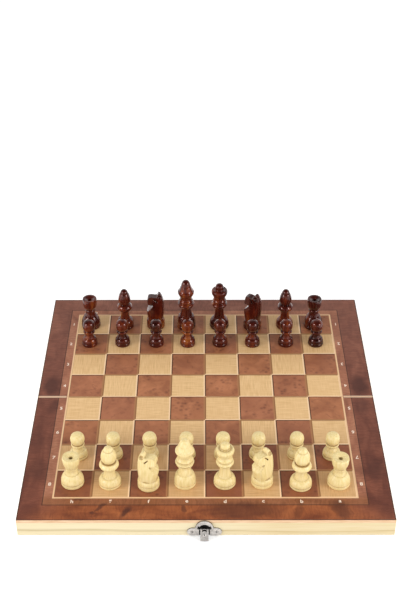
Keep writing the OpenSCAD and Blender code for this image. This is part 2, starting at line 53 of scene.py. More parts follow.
def linear(colour):
    """Turns an sRGB hex colour into linear RGBA by the sRGB curve."""
    c = np.array([int(colour[i:i + 2], 16) for i in (1, 3, 5)]) / 255
    c = np.where(c <= 0.04045, c / 12.92, ((c + 0.055) / 1.055) ** 2.4)
    return (*c, 1.0)


def surface(name, **sockets):
    """Starts a material with constant values set on its Principled shader. Gives all three."""
    material = bpy.data.materials.new(name)
    material.use_nodes = True
    shader = material.node_tree.nodes["Principled BSDF"]
    for socket, value in sockets.items():
        shader.inputs[socket.replace("_", " ")].default_value = value
    return material, material.node_tree, shader


def add(tree, kind, feeds=None, stops=None, **settings):
    """Adds a shader node with its properties, gives its inputs their values or links, and a
    colour ramp its stops. Gives the node's outputs."""
    node = tree.nodes.new("ShaderNode" + kind)
    for name, value in settings.items():
        setattr(node, name, value)
    for name, value in (feeds or {}).items():
        if isinstance(value, bpy.types.NodeSocket):
            tree.links.new(value, node.inputs[name])
        else:
            node.inputs[name].default_value = value
    for i, (at, colour) in enumerate(stops or []):
        ramp = node.color_ramp.elements
        stop = ramp[i] if i < 2 else ramp.new(at)
        stop.position, stop.color = at, linear(colour)
    return node.outputs


def dress(material, nodes):
    """Puts a material on every slot of the CAD nodes named."""
    for name in nodes:
        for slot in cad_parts[name].material_slots:
            slot.material = material


# Paper print of burl and sycamore veneer under satin lacquer: a soft sheen, no clear reflection
print_finish, t, shader = surface("lacquered_veneer_print", Roughness=0.55, IOR=1.45)
place = add(t, "TexCoord")["Object"]
x_y_z = add(t, "SeparateXYZ", {0: place})
in_front = add(t, "Math", {0: x_y_z[1], 1: 0.0}, operation="LESS_THAN")[0]
pitch = add(t, "MapRange", {0: in_front, 3: SQUARE * REAR_PITCH, 4: SQUARE * FRONT_PITCH})[0]
file_at = add(t, "Math", {0: x_y_z[0], 1: PRINT_SHIFT}, operation="SUBTRACT")[0]
file_at = add(t, "Math", {0: file_at, 1: SQUARE}, operation="DIVIDE")[0]
row_at = add(t, "Math", {0: x_y_z[1], 1: pitch}, operation="DIVIDE")[0]
in_squares = add(t, "CombineXYZ", {0: file_at, 1: row_at})[0]
cell = add(t, "VectorMath", {0: in_squares}, operation="FLOOR")[0]
share = add(t, "SeparateXYZ", {0: add(t, "VectorMath", {0: in_squares}, operation="FRACTION")[0]})
column = add(t, "SeparateXYZ", {0: cell})
parity = add(t, "Math", {0: add(t, "Math", {0: column[0], 1: column[1]})[0], 1: 2.0},
             operation="FLOORED_MODULO")[0]
out = add(t, "SeparateXYZ", {0: add(t, "VectorMath", {0: place}, operation="ABSOLUTE")[0]})
# distance from the middle in squares, less what the four deeper rows take past the files' size
far_x = add(t, "Math", {0: file_at}, operation="ABSOLUTE")[0]
spare = add(t, "MapRange", {0: in_front, 3: 4 * (REAR_PITCH - 1), 4: 4 * (FRONT_PITCH - 1)})[0]
far_y = add(t, "Math", {0: add(t, "Math", {0: out[1], 1: SQUARE}, operation="DIVIDE")[0], 1: spare},
            operation="SUBTRACT")[0]
ring = add(t, "Math", {0: far_x, 1: far_y}, operation="MAXIMUM")[0]
# each square is cut from another part of its veneer
piece_of = add(t, "TexWhiteNoise", {0: cell}, noise_dimensions="3D")["Color"]
piece_tone = add(t, "SeparateXYZ", {0: piece_of})
shifted = add(t, "VectorMath", {0: piece_of, 1: (0.9, 0.9, 0.0), 2: place},
              operation="MULTIPLY_ADD")[0]

# sycamore: grain lines both ways, and in each square one way is the stronger
GRAIN_ALONG, GRAIN_ACROSS = 70, 1250        # per metre: lines 14 mm long and 0.8 mm apart
grain_x = add(t, "Mapping", {0: shifted, "Scale": (GRAIN_ALONG, GRAIN_ACROSS, 1)})[0]
grain_y = add(t, "Mapping", {0: shifted, "Scale": (GRAIN_ACROSS, GRAIN_ALONG, 1)})[0]
along = add(t, "TexNoise", {"Vector": grain_x, "Scale": 1, "Detail": 2})[0]
across = add(t, "TexNoise", {"Vector": grain_y, "Scale": 1, "Detail": 2})[0]
turned = add(t, "MapRange", {0: piece_tone[0], 1: 0.45, 2: 0.55, 3: 0.3, 4: 0.7})[0]
figure = add(t, "Mix", {0: turned, 2: along, 3: across})[0]
sycamore = add(t, "ValToRGB", {0: figure}, [(0.36, "#d5ab73"), (0.66, "#eac48f"),
                                            (0.50, "#e2b983")])[0]

# burl: soft clouds, a few swirls, and patches of soft eyes about 2 mm across
CLOUDS, SWIRLS, EYES, PATCHES = 60, 140, 240, 48    # per metre: 17, 7, 4 and 21 mm apart
cloud = add(t, "TexNoise", {"Vector": shifted, "Scale": CLOUDS, "Detail": 3,
                            "Distortion": 0.8})[0]
burl = add(t, "ValToRGB", {0: cloud}, [(0.34, "#995c3a"), (0.68, "#bb7850"),
                                       (0.50, "#aa6b45")])[0]
tone = add(t, "MapRange", {0: piece_tone[1], 3: 0.0, 4: 0.45})[0]
burl = add(t, "Mix", {0: tone, 6: burl, 7: linear("#9b5d44")}, data_type="RGBA")[2]
swirl = add(t, "TexNoise", {"Vector": shifted, "Scale": SWIRLS, "Detail": 3,
                            "Distortion": 1.6})[0]
swirl = add(t, "MapRange", {0: swirl, 1: 0.56, 2: 0.74, 3: 0.0, 4: 0.6})[0]
eyes = add(t, "TexVoronoi", {"Vector": shifted, "Scale": EYES, "Randomness": 1})["Distance"]
eyes = add(t, "MapRange", {0: eyes, 1: 0.52, 2: 0.06})[0]
patch = add(t, "TexNoise", {"Vector": shifted, "Scale": PATCHES, "Detail": 1})[0]
patch = add(t, "MapRange", {0: patch, 1: 0.53, 2: 0.60})[0]
eyes = add(t, "Math", {0: eyes, 1: patch}, operation="MULTIPLY")[0]
dark_figure = add(t, "Math", {0: swirl, 1: eyes}, operation="MAXIMUM")[0]
dark_figure = add(t, "Math", {0: dark_figure, 1: 0.62}, operation="MULTIPLY")[0]
burl = add(t, "Mix", {0: dark_figure, 6: burl, 7: linear("#5c2c1e")}, data_type="RGBA")[2]
# painted shade between the men: the squares are painted palest in the middle rows and darkest in the
# two nearest the front
row_share = add(t, "MapRange", {0: row_at, 1: -4.0, 2: 4.0})[0]
row_painted_shade = add(t, "ValToRGB", {0: row_share}, [(0.225, "#d8cac1"), (1.0, "#e6e1de"),
                                               (0.275, "#ece7e3"), (0.40, "#ffffff"),
                                               (0.62, "#ffffff"), (0.76, "#ece8e5")])[0]
burl = add(t, "Mix", {0: 1.0, 6: burl, 7: row_painted_shade}, data_type="RGBA", blend_type="MULTIPLY")[2]
sycamore = add(t, "Mix", {0: 0.6, 6: sycamore, 7: row_painted_shade}, data_type="RGBA",
               blend_type="MULTIPLY")[2]
squares = add(t, "Mix", {0: parity, 6: burl, 7: sycamore}, data_type="RGBA")[2]

# lines that make each square look set in: shaded at its left and back, lit at its right and front
LIT_LINE, SHADED_LINE, BLUR = 1.15 * MM / SQUARE, 0.95 * MM / SQUARE, 0.12 * MM / SQUARE
from_front = add(t, "Math", {0: 1.0, 1: share[1]}, operation="SUBTRACT")[0]
lit = add(t, "Math", {0: share[0], 1: from_front}, operation="MAXIMUM")[0]
lit = add(t, "MapRange", {0: lit, 1: 1 - LIT_LINE - BLUR, 2: 1 - LIT_LINE + BLUR})[0]
shaded = add(t, "Math", {0: share[0], 1: from_front}, operation="MINIMUM")[0]
shaded = add(t, "MapRange", {0: shaded, 1: SHADED_LINE + BLUR, 2: SHADED_LINE - BLUR})[0]
lit_line = add(t, "Mix", {0: parity, 6: linear("#a8744a"), 7: linear("#f4cfa4")},
               data_type="RGBA")[2]
shaded_line = add(t, "Mix", {0: parity, 6: linear("#5a2c14"), 7: linear("#93653a")},
                  data_type="RGBA")[2]
squares = add(t, "Mix", {0: shaded, 6: squares, 7: shaded_line}, data_type="RGBA")[2]
squares = add(t, "Mix", {0: lit, 6: squares, 7: lit_line}, data_type="RGBA")[2]

# border: burl with the figure running along each side, orange-brown along the front
WANDER, BEND = 150, 7 * MM                  # bends in the grain: 7 mm apart, 7 mm from end to end
BORDER_CLOUDS = 90                          # per metre: 11 mm apart
wander = add(t, "TexNoise", {"Vector": place, "Scale": WANDER, "Detail": 3})["Color"]
bent = add(t, "VectorMath", {0: wander, 1: (BEND, BEND, 0.0), 2: place},
           operation="MULTIPLY_ADD")[0]
bent = add(t, "VectorMath", {0: bent, 1: (BEND / 2, BEND / 2, 0.0)}, operation="SUBTRACT")[0]
side_share = add(t, "Math", {0: far_x, 1: far_y}, operation="SUBTRACT")[0]
side_share = add(t, "MapRange", {0: side_share, 1: -1.1, 2: 0.5}, interpolation_type="SMOOTHSTEP")[0]
along_side = add(t, "Mapping", {0: place, "Scale": (1, 0.35, 1)})[0]
along_front = add(t, "Mapping", {0: place, "Location": (3, 1, 0), "Scale": (0.4, 1, 1)})[0]
side_cloud = add(t, "TexNoise", {"Vector": along_side, "Scale": BORDER_CLOUDS, "Detail": 5,
                                 "Distortion": 0.9})[0]
long_cloud = add(t, "TexNoise", {"Vector": along_front, "Scale": BORDER_CLOUDS, "Detail": 5,
                                 "Distortion": 0.9})[0]
border_cloud = add(t, "Mix", {0: side_share, 2: long_cloud, 3: side_cloud})[0]
side_colour = add(t, "ValToRGB", {0: border_cloud}, [(0.30, "#65301f"), (0.72, "#8a4d36"),
                                                     (0.50, "#783f2b")])[0]
front_colour = add(t, "ValToRGB", {0: border_cloud}, [(0.30, "#7c3b1b"), (0.72, "#ab6033"),
                                                      (0.50, "#975028")])[0]
rear_colour = add(t, "ValToRGB", {0: border_cloud}, [(0.30, "#7c4836"), (0.72, "#97604b"),
                                                     (0.50, "#8a5340")])[0]
to_rear = add(t, "MapRange", {0: x_y_z[1], 1: -0.1, 2: 0.1})[0]
part_rear = add(t, "Math", {0: to_rear, 1: 0.7}, operation="MULTIPLY")[0]
side_colour = add(t, "Mix", {0: part_rear, 6: side_colour, 7: rear_colour}, data_type="RGBA")[2]
long_colour = add(t, "Mix", {0: to_rear, 6: front_colour, 7: rear_colour}, data_type="RGBA")[2]
border = add(t, "Mix", {0: side_share, 6: long_colour, 7: side_colour}, data_type="RGBA")[2]

# label strip: a lighter cut of the same burl between a fine pale line and a fine dark one
strip_colour = add(t, "ValToRGB", {0: border_cloud}, [(0.30, "#8f573f"), (0.72, "#b87d5e"),
                                                      (0.50, "#a76a4e")])[0]
strip_front = add(t, "Mix", {0: 0.7, 6: strip_colour, 7: linear("#8b5127")}, data_type="RGBA")[2]
on_front = add(t, "MapRange", {0: x_y_z[1], 1: -3.9 * SQUARE, 2: -4.2 * SQUARE})[0]
strip = add(t, "Mix", {0: on_front, 6: strip_colour, 7: strip_front}, data_type="RGBA")[2]

# where the pale line, the strip and the dark line start, in squares from the middle
OUTLINE_IN, STRIP_IN, STRIP_OUT = 3.974, 4.016, 4.245
STRIP_LINE, FADE = 0.024, 0.007
in_outline = add(t, "MapRange", {0: ring, 1: OUTLINE_IN - FADE, 2: OUTLINE_IN + FADE})[0]
in_strip = add(t, "MapRange", {0: ring, 1: STRIP_IN - FADE, 2: STRIP_IN + FADE})[0]
in_dark_line = add(t, "MapRange", {0: ring, 1: STRIP_OUT - FADE, 2: STRIP_OUT + FADE})[0]
in_border = add(t, "MapRange", {0: ring, 1: STRIP_OUT + STRIP_LINE - FADE,
                                2: STRIP_OUT + STRIP_LINE + FADE})[0]
# fine grain runs across each side of the frame
CROSS_ALONG, CROSS_ACROSS = 90, 700         # per metre: lines 11 mm long and 1.4 mm apart
grain_side = add(t, "Mapping", {0: bent, "Scale": (CROSS_ALONG, CROSS_ACROSS, 1)})[0]
grain_front = add(t, "Mapping", {0: bent, "Scale": (CROSS_ACROSS, CROSS_ALONG, 1)})[0]
grain_side = add(t, "TexNoise", {"Vector": grain_side, "Scale": 1, "Detail": 2})[0]
grain_front = add(t, "TexNoise", {"Vector": grain_front, "Scale": 1, "Detail": 2})[0]
cross_grain = add(t, "Mix", {0: side_share, 2: grain_front, 3: grain_side})[0]
cross_grain = add(t, "ValToRGB", {0: cross_grain}, [(0.34, "#e2dedb"), (0.62, "#ffffff")])[0]
burl_frame = add(t, "Mix", {0: in_border, 6: strip, 7: border}, data_type="RGBA")[2]
burl_frame = add(t, "Mix", {0: 1.0, 6: burl_frame, 7: cross_grain}, data_type="RGBA",
                 blend_type="MULTIPLY")[2]

# darker clouds and knots in the frame's burl: place in squares, half length and width, turn, depth
KNOTS = [(-4.52, 0.50, 0.26, 0.46, 0, 0.75), (4.52, 0.50, 0.28, 0.50, 0, 0.75),
         (-4.38, -0.45, 0.16, 0.34, 0, 0.5), (4.50, -0.42, 0.24, 0.36, 0, 0.5),
         (-4.55, -3.05, 0.24, 0.46, 0, 0.4), (4.58, -3.05, 0.26, 0.50, 0, 0.45),
         (0.95, -4.56, 1.05, 0.30, 0, 0.6), (3.50, -4.52, 0.24, 0.40, 20, 0.6),
         (2.40, -4.56, 0.12, 0.40, -20, 0.35), (-2.08, -4.62, 0.24, 0.11, 55, 0.85),
         (-2.74, -4.45, 0.22, 0.06, 50, 0.7), (-2.92, -4.66, 0.05, 0.05, 0, 0.7),
         (-0.56, -4.52, 0.06, 0.14, 0, 0.6), (-3.35, -4.16, 0.16, 0.07, 0, 0.6),
         (2.9, 4.55, 0.5, 0.22, 0, 0.25), (-2.1, 4.55, 0.7, 0.2, 0, 0.2)]
knotted = 0.0
for x, y, long_r, wide_r, turn, depth in KNOTS:
    knot = add(t, "Mapping", {0: bent, "Location": (x * SQUARE, y * SQUARE, 0),
                              "Rotation": (0, 0, np.radians(turn)),
                              "Scale": (long_r * SQUARE, wide_r * SQUARE, 1)},
               vector_type="TEXTURE")[0]
    knot = add(t, "VectorMath", {0: add(t, "VectorMath", {0: knot, 1: (1, 1, 0)},
                                        operation="MULTIPLY")[0]}, operation="LENGTH")["Value"]
    knot = add(t, "MapRange", {0: knot, 1: 1.2, 2: 0.6, 4: depth})[0]
    knotted = add(t, "Math", {0: knotted, 1: knot}, operation="MAXIMUM")[0]
burl_frame = add(t, "Mix", {0: knotted, 6: burl_frame, 7: linear("#4a2015")}, data_type="RGBA")[2]
line_depth = add(t, "Math", {0: in_dark_line, 1: in_border}, operation="SUBTRACT")[0]
line_depth = add(t, "Math", {0: line_depth, 1: 0.95}, operation="MULTIPLY")[0]
burl_frame = add(t, "Mix", {0: line_depth, 6: burl_frame, 7: linear("#3c1a10")},
                 data_type="RGBA")[2]
paper = add(t, "Mix", {0: in_outline, 6: squares, 7: linear("#e8bf92")}, data_type="RGBA")[2]
paper = add(t, "Mix", {0: in_strip, 6: paper, 7: burl_frame}, data_type="RGBA")[2]
# fold: a pale line printed along the joint outside the squares, and a dark one beside it. Each
# pair of distances from the joint is where the line ends and where it is full.
FOLD_DARK, FOLD_PALE = (2.2 * MM, 1.4 * MM), (1.25 * MM, 1.0 * MM)
outside = add(t, "MapRange", {0: far_x, 1: 4.02, 2: 4.05})[0]
fold_dark = add(t, "MapRange", {0: out[1], 1: FOLD_DARK[0], 2: FOLD_DARK[1]})[0]
fold_dark = add(t, "Math", {0: fold_dark, 1: outside}, operation="MULTIPLY")[0]
fold_dark = add(t, "Math", {0: fold_dark, 1: 0.4}, operation="MULTIPLY")[0]
fold_pale = add(t, "MapRange", {0: out[1], 1: FOLD_PALE[0], 2: FOLD_PALE[1]})[0]
fold_pale = add(t, "Math", {0: fold_pale, 1: outside}, operation="MULTIPLY")[0]
paper = add(t, "Mix", {0: fold_dark, 6: paper, 7: linear("#46221a")}, data_type="RGBA")[2]
paper = add(t, "Mix", {0: fold_pale, 6: paper, 7: linear("#dcbc9e")}, data_type="RGBA")[2]
# the print ends at the board's edge in a dark brown line 1 mm wide, full in its outer 0.6 mm
EDGE_LINE, EDGE_FULL = 1.0 * MM, 0.6 * MM
past_x = add(t, "Math", {0: out[0], 1: HALF_X}, operation="SUBTRACT")[0]
past_y = add(t, "Math", {0: out[1], 1: HALF_Y}, operation="SUBTRACT")[0]
at_edge = add(t, "Math", {0: past_x, 1: past_y}, operation="MAXIMUM")[0]
at_edge = add(t, "MapRange", {0: at_edge, 1: -EDGE_LINE, 2: -EDGE_FULL, 4: 0.8})[0]
paper = add(t, "Mix", {0: at_edge, 6: paper, 7: linear("#42231a")}, data_type="RGBA")[2]
# cut edge: pale core with fine fibres along it, up to the paper at the top
CORE_TOP, PAPER = 0.15 * MM, 0.05 * MM      # depths below the top where one turns into the other
on_top = add(t, "MapRange", {0: x_y_z[2], 1: PANEL_TOP - CORE_TOP, 2: PANEL_TOP - PAPER})[0]
fibres = add(t, "TexNoise", {"Vector": add(t, "Mapping", {0: place, "Scale": (90, 90, 1500)})[0],
                             "Scale": 1, "Detail": 3})[0]
core = add(t, "ValToRGB", {0: fibres}, [(0.35, "#cfa57c"), (0.65, "#e6c4a0")])[0]
board_colour = add(t, "Mix", {0: on_top, 6: core, 7: paper}, data_type="RGBA")[2]
t.links.new(board_colour, shader.inputs["Base Color"])
sheen_noise = add(t, "TexNoise", {"Vector": place, "Scale": 900, "Detail": 2})[0]
ripple = add(t, "Bump", {"Height": sheen_noise, "Strength": 0.04, "Distance": 0.1 * MM})[0]
t.links.new(ripple, shader.inputs["Normal"])
dress(print_finish, ["front_panel", "rear_panel"])

# ---- Coordinates ----------------------------------------------------------------------------
# The files a to h and the ranks 1 to 8, printed in cream on the label strip. Those on the left
# and front read from the front, and those on the right and back read from the back.

LETTER_H = 4.0 * MM
FONT_SIZE, STROKE_SPREAD = LETTER_H * 1.25, LETTER_H * 0.022
NUMBER_LEFT, NUMBER_RIGHT, LETTER_FRONT, LETTER_REAR = -4.15, 4.13, -4.24, 4.17
PRINT_LIFT = 0.03 * MM
ink, t, shader = surface("cream_print", Roughness=0.4)
speckle = add(t, "TexNoise", {"Vector": add(t, "TexCoord")["Object"], "Scale": 2500})[0]
t.links.new(add(t, "ValToRGB", {0: speckle}, [(0.3, "#f3d8c0"), (0.7, "#fff0de")])[0],
            shader.inputs["Base Color"])


def label(name, text, x, y, turn, body):
    """A flat mesh of one character, centred on (x, y) in squares and turned about its middle."""
    curve = bpy.data.curves.new(name, "FONT")
    curve.body, curve.align_x, curve.align_y = text, "CENTER", "CENTER"
    curve.size, curve.offset, curve.resolution_u = FONT_SIZE, STROKE_SPREAD, 3
    holder = bpy.data.objects.new(name + "_text", curve)
    bpy.context.scene.collection.objects.link(holder)
    bpy.context.view_layer.update()
    mesh = bpy.data.meshes.new_from_object(holder)
    bpy.data.objects.remove(holder)
    middle = (np.ptp([v.co.y for v in mesh.vertices]) / 2
              + min(v.co.y for v in mesh.vertices))
    mesh.transform(Matrix.Translation((x * SQUARE, y * SQUARE, PANEL_TOP + PRINT_LIFT))
                   @ Matrix.Rotation(turn, 4, "Z") @ Matrix.Translation((0, -middle, 0)))
    mesh.materials.clear()
    mesh.materials.append(ink)
    piece = bpy.data.objects.new(name, mesh)
    bpy.context.scene.collection.objects.link(piece)
    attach(piece, body)


for i, (letter, number) in enumerate(zip("hgfedcba", "87654321")):
    off = i - 3.5
    label("letter_front_" + letter, letter, off, LETTER_FRONT, 0, "front_half")
    label("letter_back_" + letter, letter, off, LETTER_REAR, np.pi, "rear_half")
    body, row = (("front_half", off * FRONT_PITCH) if off < 0 else ("rear_half", off * REAR_PITCH))
    label("number_left_" + number, number, NUMBER_LEFT, row, 0, body)
    label("number_right_" + number, number, NUMBER_RIGHT, row, np.pi, body)

# ---- Pine frames ----------------------------------------------------------------------------
# The four walls of each half are planed pine, butt-jointed, glued and left bare. The grain runs
# along each wall in long even lines. The slot cut for the latch is painted near-black as shade.

LONG_WALLS = ["front_outer_wall", "front_fold_wall", "rear_outer_wall", "rear_fold_wall"]
SIDE_WALLS = ["front_left_wall", "front_right_wall", "rear_left_wall", "rear_right_wall"]
tongue_low, tongue_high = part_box("latch_tongue")
SLOT_X = (tongue_low.x + tongue_high.x) / 2
SLOT_MIDDLE = (SLOT_X, -HALF_Y + 1.25 * MM, 7.1 * MM)
SLOT_HALF = (4.15 * MM, 1.4 * MM, 6.4 * MM)
RISE, DEPTH = 75.0, 111.0                   # growth lines per metre: 13 mm up, 9 mm through
HEART_FROM, HEART_FULL = -10 * MM, 50 * MM  # where the golden tone starts and is full, along X


def pine(name, lengthways):
    """Bare pine. The growth lines are a ramp of height and depth bent by slow noise."""
    material, t, shader = surface(name, Roughness=0.62, IOR=1.45)
    place = add(t, "TexCoord")["Object"]
    stretch = (5, 25, 25) if lengthways else (25, 5, 25)
    slow = add(t, "TexNoise", {"Vector": add(t, "Mapping", {0: place, "Scale": stretch})[0],
                               "Scale": 1, "Detail": 2})[0]
    xyz = add(t, "SeparateXYZ", {0: place})
    depth = add(t, "Math", {0: xyz[1 if lengthways else 0], 1: DEPTH}, operation="MULTIPLY")[0]
    rise = add(t, "Math", {0: xyz[2], 1: RISE, 2: depth}, operation="MULTIPLY_ADD")[0]
    rings = add(t, "Math", {0: slow, 1: rise})[0]
    band = add(t, "Math", {0: rings}, operation="FRACT")[0]
    tone = add(t, "ValToRGB", {0: band}, [(0.0, "#ddcfab"), (1.0, "#dacba6"),
                                          (0.70, "#dacaa3"), (0.85, "#bcaa80"),
                                          (0.90, "#cbba92")])[0]
    # the right-hand ends of the long walls and the right-hand side walls are more golden
    heart = add(t, "MapRange", {0: xyz[0], 1: HEART_FROM, 2: HEART_FULL, 4: 0.45})[0]
    tone = add(t, "Mix", {0: heart, 6: tone, 7: linear("#ccb07a")}, data_type="RGBA")[2]
    fine = (25, 1100, 1100) if lengthways else (1100, 25, 1100)
    fibres = add(t, "TexNoise", {"Vector": add(t, "Mapping", {0: place, "Scale": fine})[0],
                                 "Scale": 1, "Detail": 3})[0]
    streak = add(t, "MapRange", {0: fibres, 1: 0.35, 2: 0.65, 3: 0.0, 4: 0.45})[0]
    tone = add(t, "Mix", {0: streak, 6: tone, 7: linear("#e2d6b6")}, data_type="RGBA")[2]
    # painted shade: near-black in the latch's slot and on the wall face behind the latch's arch
    from_slot = add(t, "VectorMath", {0: place, 1: SLOT_MIDDLE}, operation="SUBTRACT")[0]
    from_slot = add(t, "VectorMath", {0: from_slot, 1: SLOT_HALF}, operation="DIVIDE")[0]
    reach = add(t, "SeparateXYZ", {0: add(t, "VectorMath", {0: from_slot}, operation="ABSOLUTE")[0]})
    reach = add(t, "Math", {0: add(t, "Math", {0: reach[0], 1: reach[1]}, operation="MAXIMUM")[0],
                            1: reach[2]}, operation="MAXIMUM")[0]
    slot_painted_shade = add(t, "Math", {0: reach, 1: 1.0}, operation="LESS_THAN")[0]
    tone = add(t, "Mix", {0: slot_painted_shade, 6: tone, 7: linear("#120c08")}, data_type="RGBA")[2]
    t.links.new(tone, shader.inputs["Base Color"])
    t.links.new(add(t, "Bump", {"Height": fibres, "Strength": 0.12, "Distance": 0.1 * MM})[0],
                shader.inputs["Normal"])
    return material


dress(pine("planed_pine_long", True), LONG_WALLS)
dress(pine("planed_pine_side", False), SIDE_WALLS)

# ---- Linings --------------------------------------------------------------------------------
# Thin card glued under each panel, printed with the backgammon board: twelve long points to a
# half, in two colours, on a pale wood ground.

POINTS = 12
LINING_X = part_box("front_lining")[1].x
LINING_OUTER_Y = -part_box("front_lining")[0].y
POINT_TIP, POINT_ROOT = 100 * MM, 3 * MM    # distances of a point's ends from the outer wall
card, t, shader = surface("printed_card", Roughness=0.5, IOR=1.5)
place = add(t, "TexCoord")["Object"]
xyz = add(t, "SeparateXYZ", {0: place})
pitch = 2 * LINING_X / POINTS
step = add(t, "Math", {0: xyz[0], 1: pitch}, operation="DIVIDE")[0]
across = add(t, "Math", {0: add(t, "Math", {0: step}, operation="FRACT")[0], 1: 0.5},
             operation="SUBTRACT")[0]
across = add(t, "Math", {0: across}, operation="ABSOLUTE")[0]
reach = add(t, "Math", {0: xyz[1]}, operation="ABSOLUTE")[0]
taper = add(t, "MapRange", {0: reach, 1: LINING_OUTER_Y - POINT_TIP, 2: LINING_OUTER_Y - POINT_ROOT,
                            3: 0.0, 4: 0.46}, clamp=False)[0]
inside = add(t, "Math", {0: taper, 1: across}, operation="SUBTRACT")[0]
inside = add(t, "MapRange", {0: inside, 1: -0.006, 2: 0.006})[0]
odd = add(t, "Math", {0: add(t, "Math", {0: step}, operation="FLOOR")[0], 1: 2.0},
          operation="FLOORED_MODULO")[0]
grain = add(t, "TexNoise", {"Vector": add(t, "Mapping", {0: place, "Scale": (40, 500, 1)})[0],
                            "Scale": 1, "Detail": 3})[0]
ground = add(t, "ValToRGB", {0: grain}, [(0.35, "#d8b07c"), (0.65, "#ebcb9b")])[0]
dark_point = add(t, "ValToRGB", {0: grain}, [(0.35, "#6b3a2a"), (0.65, "#8a5040")])[0]
red_point = add(t, "ValToRGB", {0: grain}, [(0.35, "#a9683f"), (0.65, "#c07f52")])[0]
point = add(t, "Mix", {0: odd, 6: dark_point, 7: red_point}, data_type="RGBA")[2]
lining_colour = add(t, "Mix", {0: inside, 6: ground, 7: point}, data_type="RGBA")[2]
bar = add(t, "MapRange", {0: add(t, "Math", {0: xyz[0]}, operation="ABSOLUTE")[0],
                          1: 1.0 * MM, 2: 0.8 * MM})[0]
lining_colour = add(t, "Mix", {0: bar, 6: lining_colour, 7: linear("#5a3325")},
                    data_type="RGBA")[2]
t.links.new(lining_colour, shader.inputs["Base Color"])
dress(card, ["front_lining", "rear_lining"])

# ---- Hinges ---------------------------------------------------------------------------------
# Pressed brass leaves let into the rims, rolled round steel pins and held by countersunk screws.

brass, t, shader = surface("pressed_brass", Metallic=1.0, Roughness=0.34)
place = add(t, "TexCoord")["Object"]
tarnish = add(t, "TexNoise", {"Vector": place, "Scale": 260, "Detail": 4})[0]
t.links.new(add(t, "ValToRGB", {0: tarnish}, [(0.3, "#c9a24e"), (0.7, "#e2c577")])[0],
            shader.inputs["Base Color"])
brushing = add(t, "TexNoise", {"Vector": add(t, "Mapping", {0: place, "Scale": (120, 4000, 4000)})[0],
                               "Scale": 1, "Detail": 2})[0]
t.links.new(add(t, "Bump", {"Height": brushing, "Strength": 0.12, "Distance": 0.05 * MM})[0],
            shader.inputs["Normal"])
dress(brass, [half + "_hinge_" + part for half in ("front", "rear")
              for part in ("leaf_left", "leaf_right", "screws")])
pin_steel, t, shader = surface("drawn_steel_pin", Metallic=1.0, Roughness=0.3)
drawn = add(t, "TexNoise", {"Vector": add(t, "TexCoord")["Object"], "Scale": 1200, "Detail": 2})[0]
t.links.new(add(t, "ValToRGB", {0: drawn}, [(0.3, "#9d9a96"), (0.7, "#bcb9b4")])[0],
            shader.inputs["Base Color"])
dress(pin_steel, ["hinge_pins"])

# ---- Latch and catch ------------------------------------------------------------------------
# Stamped steel, nickel plated: a plate with an arch that shows a dark slot in the wall, a
# swinging tongue on a pin through two lugs, and on the far wall a plate with a bead to hook on.

nickel, t, shader = surface("nickel_plate", Metallic=1.0, Roughness=0.26)
place = add(t, "TexCoord")["Object"]
cloudy = add(t, "TexNoise", {"Vector": place, "Scale": 420, "Detail": 3})[0]
plating = add(t, "ValToRGB", {0: cloudy}, [(0.3, "#a5a09c"), (0.7, "#cbc6c1")])[0]
# painted shade: the plating darkens towards near-black in corners, slots and round the screws
corner_painted_shade = add(t, "AmbientOcclusion", {"Distance": 1.7 * MM}, samples=8)["AO"]
corner_painted_shade = add(t, "MapRange", {0: corner_painted_shade, 1: 0.90, 2: 0.55})[0]
plating = add(t, "Mix", {0: corner_painted_shade, 6: plating, 7: linear("#24201e")}, data_type="RGBA")[2]
t.links.new(plating, shader.inputs["Base Color"])
dimples = add(t, "TexNoise", {"Vector": place, "Scale": 900, "Detail": 2})[0]
t.links.new(add(t, "Bump", {"Height": dimples, "Strength": 0.12, "Distance": 0.1 * MM})[0],
            shader.inputs["Normal"])
dress(nickel, ["latch_plate", "latch_tongue", "latch_pin", "latch_screws", "catch_plate",
               "catch_screws"])

# ---- Men, draughts and dice -----------------------------------------------------------------
# The men and draughts are turned in one piece each, and the knights' heads are then carved. The
# light ones are boxwood with a thin clear lacquer. The dark ones are stained red-brown and dipped
# in a gloss varnish.

RANK = ["rook_left", "bishop_left", "knight_left", "king", "queen", "knight_right",
        "bishop_right", "rook_right"]
MEN = RANK + ["pawn_%d" % i for i in range(1, 9)]
ROUNDED = 0.7 * MM                          # radius that sanding and lacquer leave on an edge

boxwood, t, shader = surface("lacquered_boxwood", Roughness=0.38, IOR=1.5)
place = add(t, "TexCoord")["Object"]
grain = add(t, "TexNoise", {"Vector": add(t, "Mapping", {0: place, "Scale": (800, 800, 50)})[0],
                            "Scale": 1, "Detail": 2})[0]
wood = add(t, "ValToRGB", {0: grain}, [(0.30, "#dec786"), (0.70, "#ecd8a2"),
                                       (0.50, "#e6cf93")])[0]
# lacquer pools in the turned grooves, and painted shade darkens them towards brown
groove_pool_and_shade = add(t, "AmbientOcclusion", {"Distance": 2.6 * MM}, samples=8, only_local=True)["AO"]
groove_pool_and_shade = add(t, "MapRange", {0: groove_pool_and_shade, 1: 0.97, 2: 0.50, 4: 0.95})[0]
wood = add(t, "Mix", {0: groove_pool_and_shade, 6: wood, 7: linear("#946a2c")}, data_type="RGBA")[2]
t.links.new(wood, shader.inputs["Base Color"])
soft = add(t, "Bevel", {"Radius": ROUNDED}, samples=8)["Normal"]
t.links.new(add(t, "Bump", {"Height": grain, "Strength": 0.02, "Distance": 0.05 * MM,
                            "Normal": soft})[0], shader.inputs["Normal"])
dress(boxwood, ["light_" + man for man in MEN] + ["light_draughts"])

